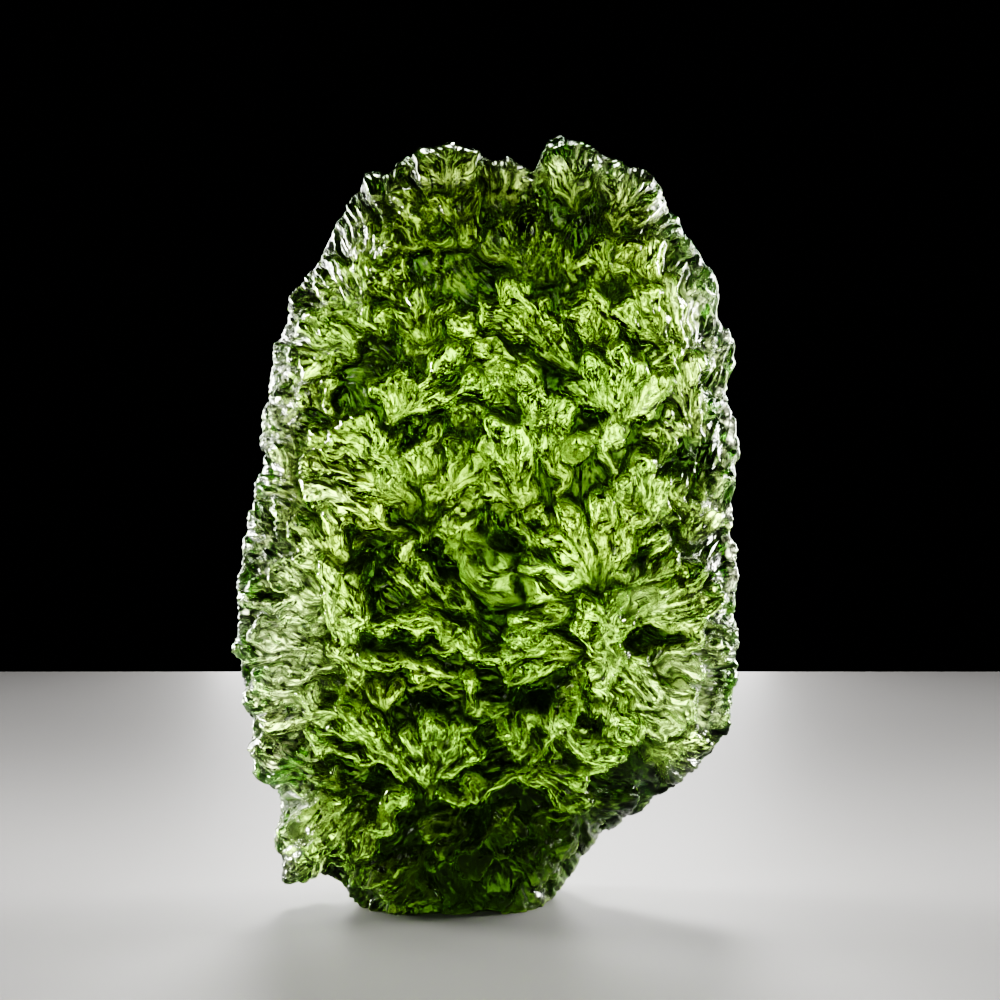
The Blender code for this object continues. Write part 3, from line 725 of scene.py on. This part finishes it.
def paintedLightAndShade(flat):
    # the broad places of painted light and painted shade, and the painted shade in the pits
    tone = np.zeros(len(flat))
    for *oval, level in stone["tones"]:
        mask = ovalMask(flat, oval, stone["lightAndShadeFade"])
        tone = tone * (1.0 - mask) + level * mask
    # each pit is darkened with painted shade
    for *oval, _ in stone["pits"]:
        mask = ovalMask(flat, oval, stone["pitShadeFade"])
        tone -= stone["pitShade"] * mask * (tone + 1.0)
    return tone


def rimPaleness(flat):
    # a painted highlight along the rim, stronger on some headings than on others
    angle, distance = aroundCentre(flat)
    rim = smoothStep(*stone["rimFade"], distance / outlineRadius(angle))
    rimPale = np.array(stone["rimPale"])
    return rim * np.interp(np.degrees(angle), rimPale[:, 0], rimPale[:, 1])


def writeAttribute(mesh, name, kind, values):
    key = "vector" if kind == "FLOAT_VECTOR" else "value"
    attribute = mesh.attributes.new(name, kind, "POINT")
    attribute.data.foreach_set(key, values.astype(np.float32).ravel())


def markRelief(piece, forms):
    # how much painted shade each point of the glass gets, in its furrows, valleys, low ground and
    # dim places, how much painted light and painted rim highlight, and where it lies on its fine
    # threads
    mesh = piece.data
    points, normals = readPoints(mesh), readNormals(mesh)
    flat = points[:, [0, 2]]
    furrowShade = smoothStep(*stone["furrowFade"], furrowDepth(mesh, points, normals))
    valley = onBothFaces(points, normals, [valleys(form["height"]) for form in forms])
    valley = smoothStep(*stone["valleyFade"], valley)
    ground = onBothFaces(points, normals, [form["height"] for form in forms])
    ground = smoothStep(*stone["groundFade"], ground)
    tone = paintedLightAndShade(flat)
    dim = np.clip(-tone, 0.0, 1.0)
    pale = np.clip(np.maximum(tone, rimPaleness(flat)), 0.0, 1.0)
    # painted shade: darker in furrows, valleys and on low ground, and in the dim ovals, lighter
    # where painted light lies
    light = (1.0 - stone["furrowShare"] * furrowShade) * (
        1.0 - stone["valleyShare"] * valley * (1.0 - stone["paleInValley"] * pale))
    light *= (1.0 - stone["dimShare"] * dim * (1.0 - pale)) ** 2
    light *= 1.0 - stone["lowShare"] * (1.0 - ground) * (1.0 - stone["paleWhenLow"] * pale)
    facing = frontShare(normals, stone["faceEdge"])
    shade = (1.0 - light) * (stone["backShade"] + (1.0 - stone["backShade"]) * facing)
    front, back = [frondRelief(warped(flat, form["warp"]), form["fronds"])[1] for form in forms]
    for *oval, _ in stone["windows"]:
        mask = ovalMask(flat, oval, stone["windowFade"])
        front *= 1.0 - stone["windowCalm"] * mask[:, None]
    threads = np.where(facing[:, None] > 0.5, front, back)
    writeAttribute(mesh, "shade", "FLOAT", shade)
    writeAttribute(mesh, "pale", "FLOAT", pale)
    writeAttribute(mesh, "threads", "FLOAT_VECTOR", threads)
    say(f"relief marked, mean light {light.mean():.2f}")


def fitToCad(piece):
    # the finished skin takes the middle, depth and height of the CAD stone
    points = readPoints(piece.data)
    low, high = np.array(cadBox[0]) / mm, np.array(cadBox[1]) / mm
    shift = ((low + high) / 2 - (points.min(axis=0) + points.max(axis=0)) / 2) * [1, 1, 0]
    thinner = (high[1] - low[1]) / (points[:, 1].max() - points[:, 1].min())
    points = (points + shift) * [1.0, thinner, high[2] / points[:, 2].max()]
    writePoints(piece.data, points)


def cutFoot(piece):
    # everything below the floor is cut away, which leaves the flat spot
    makeActive(piece)
    bpy.ops.object.mode_set(mode="EDIT")
    bpy.ops.mesh.select_all(action="SELECT")
    bpy.ops.mesh.bisect(
        plane_co=(0, 0, 0), plane_no=(0, 0, 1), use_fill=True, clear_inner=True)
    bpy.ops.object.mode_set(mode="OBJECT")


def buildStone():
    rng = np.random.default_rng(stone["seed"])
    deselectAll()
    bpy.ops.mesh.primitive_ico_sphere_add(subdivisions=stone["sphereCuts"], radius=1.0)
    piece = bpy.context.object
    piece.name = "moldaviteGlass"
    piece.data.name = "moldaviteGlass"
    writePoints(piece.data, lensPoints(readPoints(piece.data), rng))
    fronds = [openFans(stone["fans"], stone["ribHeight"], rng)]
    fronds.append(openFans(backFans(rng), stone["ribHeight"], rng))
    applyModifier(piece, "REMESH", mode="VOXEL", voxel_size=stone["baseVoxel"])
    applyModifier(piece, "SMOOTH", factor=0.5, iterations=stone["lensSmoothing"])
    say(f"bare lens, {len(piece.data.vertices)} points")
    fineRng = np.random.default_rng(stone["fineSeed"])
    flows = [flowGrid(side, fineRng) for side in fronds]
    forms = [frontForms(fronds[0], flows[0], fineRng), backForms(fronds[1], flows[1], fineRng)]
    say("flow and large forms laid out")
    points, normals = readPoints(piece.data), readNormals(piece.data)
    height = faceRelief(points, normals, forms)
    writePoints(piece.data, points + normals * (height - stone["sink"])[:, None])
    applyModifier(piece, "REMESH", mode="VOXEL", voxel_size=stone["skinVoxel"])
    say(f"fronds raised, {len(piece.data.vertices)} points")
    points, normals = readPoints(piece.data), readNormals(piece.data)
    fine = fineRelief(points, normals, flows, fineRng)
    fine = fine - stone["fineSink"] * fine.mean()
    writePoints(piece.data, points + normals * fine[:, None])
    say("fine relief pressed in")
    fitToCad(piece)
    cutFoot(piece)
    applyModifier(piece, "TRIANGULATE")
    applyModifier(piece, "DECIMATE", ratio=stone["triangles"] / len(piece.data.polygons))
    say(f"thinned to {len(piece.data.polygons)} triangles")
    markRelief(piece, forms)
    writePoints(piece.data, readPoints(piece.data) * mm)
    makeActive(piece)
    bpy.ops.object.shade_smooth()
    return piece


# Shader maths: a wired value takes +, - and *, and each of them adds its own node
class Wire:
    def __init__(self, shader, socket):
        self.shader, self.socket = shader, socket

    def maths(self, operation, first, second):
        return self.shader.node("ShaderNodeMath", {"operation": operation}, {0: first, 1: second})

    def __add__(self, other):
        return self.maths("ADD", self, other)

    def __rsub__(self, other):
        return self.maths("SUBTRACT", other, self)

    def __mul__(self, other):
        return self.maths("MULTIPLY", self, other)

    __radd__ = __add__
    __rmul__ = __mul__


class Shader:
    def __init__(self, name):
        self.material = bpy.data.materials.new(name)
        self.material.use_nodes = True
        self.tree = self.material.node_tree
        self.surface = self.tree.nodes["Principled BSDF"]
        self.output = self.tree.nodes["Material Output"]

    def plug(self, node, sockets):
        for key, value in sockets.items():
            if isinstance(value, Wire):
                self.tree.links.new(value.socket, node.inputs[key])
            else:
                node.inputs[key].default_value = value

    def node(self, kind, settings=None, sockets=None, out=0):
        node = self.tree.nodes.new(kind)
        for key, value in (settings or {}).items():
            setattr(node, key, value)
        self.plug(node, sockets or {})
        return Wire(self, node.outputs[out])

    def attribute(self, name, out):
        return self.node("ShaderNodeAttribute", {"attribute_name": name}, out=out)

    def noise(self, place, scale, detail):
        return self.node("ShaderNodeTexNoise", None, {
            "Vector": place, "Scale": scale, "Detail": detail})

    def objectPlace(self):
        return self.node("ShaderNodeTexCoord", out=3)

    def blend(self, share, first, second):
        return self.node("ShaderNodeMix", {"data_type": "RGBA"}, {0: share, 6: first, 7: second}, 2)

    def between(self, value, low, high):
        # 0 below low, 1 above high, and smooth in between
        return self.node("ShaderNodeMapRange", {"interpolation_type": "SMOOTHSTEP"}, {
            "Value": value, "From Min": low, "From Max": high})


# The attribute shade is painted shade, 1 in the darkest furrow, and pale is painted light and
# painted rim highlight, 1 on the palest rim; the glass blends towards near black for painted shade
# and near white for painted light
glass = {
    "ior": 1.49, "absorb": (0.80, 0.925, 0.51, 1.0), "density": 420.0,
    "ridge": (0.63, 0.70, 0.36, 1.0), "warmRidge": (0.73, 0.73, 0.34, 1.0),
    "pale": (1.0, 1.0, 0.97, 1.0), "furrowShade": (0.004, 0.008, 0.003, 1.0),
    "cloudScale": 160.0, "cloudFade": (0.4, 0.65),
    "roughRidge": 0.07, "roughFurrow": 0.20, "roughPale": 0.20,
    "threadBump": 1.0, "threadDepth": 0.00005, "gapFade": (0.42, 0.51), "gapShare": 0.9,
    "pittingScale": 2600.0, "pittingShare": 0.5,
}


def glassMaterial():
    shader = Shader("moldaviteGlass")
    shade, pale = shader.attribute("shade", 2), shader.attribute("pale", 2)
    place = shader.objectPlace()
    cloud = shader.between(shader.noise(place, glass["cloudScale"], 3.0), *glass["cloudFade"])
    ridge = shader.blend(cloud, glass["ridge"], glass["warmRidge"])
    thread = shader.noise(shader.attribute("threads", 1), 1.0, 2.0)
    pitting = shader.noise(place, glass["pittingScale"], 2.0)
    # the gaps between the fine threads are darkened with painted shade, besides the bump
    gap = 1 - shader.between(thread, *glass["gapFade"])
    dark = 1 - (1 - shade) * (1 - glass["gapShare"] * gap)
    # painted shade blends the colour towards near black, and painted light and the painted rim
    # highlight towards near white
    colour = shader.blend(dark, shader.blend(pale, ridge, glass["pale"]), glass["furrowShade"])
    bump = shader.node("ShaderNodeBump", None, {
        "Strength": glass["threadBump"], "Distance": glass["threadDepth"],
        "Height": thread + glass["pittingShare"] * pitting})
    rough = glass["roughRidge"] + (glass["roughFurrow"] - glass["roughRidge"]) * shade + (
        glass["roughPale"] - glass["roughRidge"]) * pale
    shader.plug(shader.surface, {
        "Base Color": colour, "Roughness": rough, "Normal": bump,
        "IOR": glass["ior"], "Transmission Weight": 1.0})
    volume = shader.node("ShaderNodeVolumeAbsorption", None, {
        "Color": glass["absorb"], "Density": glass["density"]})
    shader.plug(shader.output, {"Volume": volume})
    return shader.material


# A pale board for the floor, in metres, which ends just behind the stone
floor = {
    "width": 0.46, "near": -0.16, "far": 0.066, "thickness": 0.012, "bevel": 0.0015,
    "colour": (0.42, 0.41, 0.40, 1.0), "darker": 0.94, "cloudScale": 30.0, "roughness": 0.55,
}


def buildFloor():
    deselectAll()
    depth = floor["far"] - floor["near"]
    middle = (floor["far"] + floor["near"]) / 2
    bpy.ops.mesh.primitive_cube_add(size=1.0, location=(0, middle, -floor["thickness"] / 2))
    board = bpy.context.object
    board.name = "floorBoard"
    board.scale = (floor["width"], depth, floor["thickness"])
    bpy.ops.object.transform_apply(location=True, rotation=True, scale=True)
    applyModifier(board, "BEVEL", width=floor["bevel"], segments=3)
    shader = Shader("paleFloor")
    cloud = shader.noise(shader.objectPlace(), floor["cloudScale"], 4.0)
    pale = floor["colour"]
    darker = tuple(floor["darker"] * c for c in pale[:3]) + (1.0,)
    shader.plug(shader.surface, {
        "Base Color": shader.blend(cloud, darker, pale), "Roughness": floor["roughness"]})
    board.data.materials.append(shader.material)
    return board


# Each light, in metres and watts: place, width and height, power, and spread in degrees
lights = {
    "behind": ((0.0, 0.075, 0.016), (0.040, 0.030), 0.021, 180),
    "behindLeft": ((-0.070, 0.065, 0.030), (0.060, 0.060), 0.020, 70),
    "behindRight": ((0.070, 0.065, 0.034), (0.060, 0.060), 0.023, 70),
    "sideLeft": ((-0.16, 0.045, 0.030), (0.05, 0.07), 0.050, 40),
    "sideRight": ((0.16, 0.045, 0.034), (0.05, 0.07), 0.038, 40),
    "above": ((0.0, 0.10, 0.12), (0.06, 0.03), 0.007, 30),
    "frontLeft": ((-0.14, -0.16, 0.10), (0.06, 0.06), 0.003, 30),
    "frontRight": ((0.12, -0.20, 0.16), (0.10, 0.10), 0.003, 30),
}
studio = {
    "lightsAim": (0, 0, 0.02), "world": (0.006, 0.0065, 0.007, 1.0),
    "transform": "AgX", "look": "AgX - Very High Contrast", "exposure": 0.5, "gamma": 0.68,
}


def turnTo(seen, way):
    seen.rotation_euler = way.to_track_quat("-Z", "Y").to_euler()


def buildStudio():
    scene = bpy.context.scene
    aim = Vector(studio["lightsAim"])
    for name, (place, size, power, spread) in lights.items():
        data = bpy.data.lights.new(name, "AREA")
        data.shape = "RECTANGLE"
        data.size, data.size_y = size
        data.energy = power
        data.spread = math.radians(spread)
        light = bpy.data.objects.new(name, data)
        scene.collection.objects.link(light)
        light.location = place
        turnTo(light, aim - Vector(place))
        light.visible_camera = False
    world = bpy.data.worlds.new("studio")
    world.use_nodes = True
    world.node_tree.nodes["Background"].inputs["Color"].default_value = studio["world"]
    scene.world = world
    scene.view_settings.view_transform = studio["transform"]
    scene.view_settings.look = studio["look"]
    scene.view_settings.exposure = studio["exposure"]
    scene.view_settings.gamma = studio["gamma"]


# In metres and degrees, with the lens in millimetres
camera = {
    "lens": 130.0, "distance": 0.1862, "elevation": 8.0, "aim": (0.0007, 0.0, 0.0212),
    "clipStart": 0.005,
}


def buildCamera():
    data = bpy.data.cameras.new("camera")
    data.lens = camera["lens"]
    data.clip_start = camera["clipStart"]
    lookFrom = bpy.data.objects.new("camera", data)
    bpy.context.scene.collection.objects.link(lookFrom)
    tilt = math.radians(camera["elevation"])
    back = Vector((0.0, -math.cos(tilt), math.sin(tilt)))
    lookFrom.location = Vector(camera["aim"]) + back * camera["distance"]
    turnTo(lookFrom, -back)
    bpy.context.scene.camera = lookFrom


piece = buildStone()
piece.data.materials.append(glassMaterial())
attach(piece, "root")
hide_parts("moldavite")
say("stone finished")

buildFloor()
buildStudio()
buildCamera()
say("studio set")
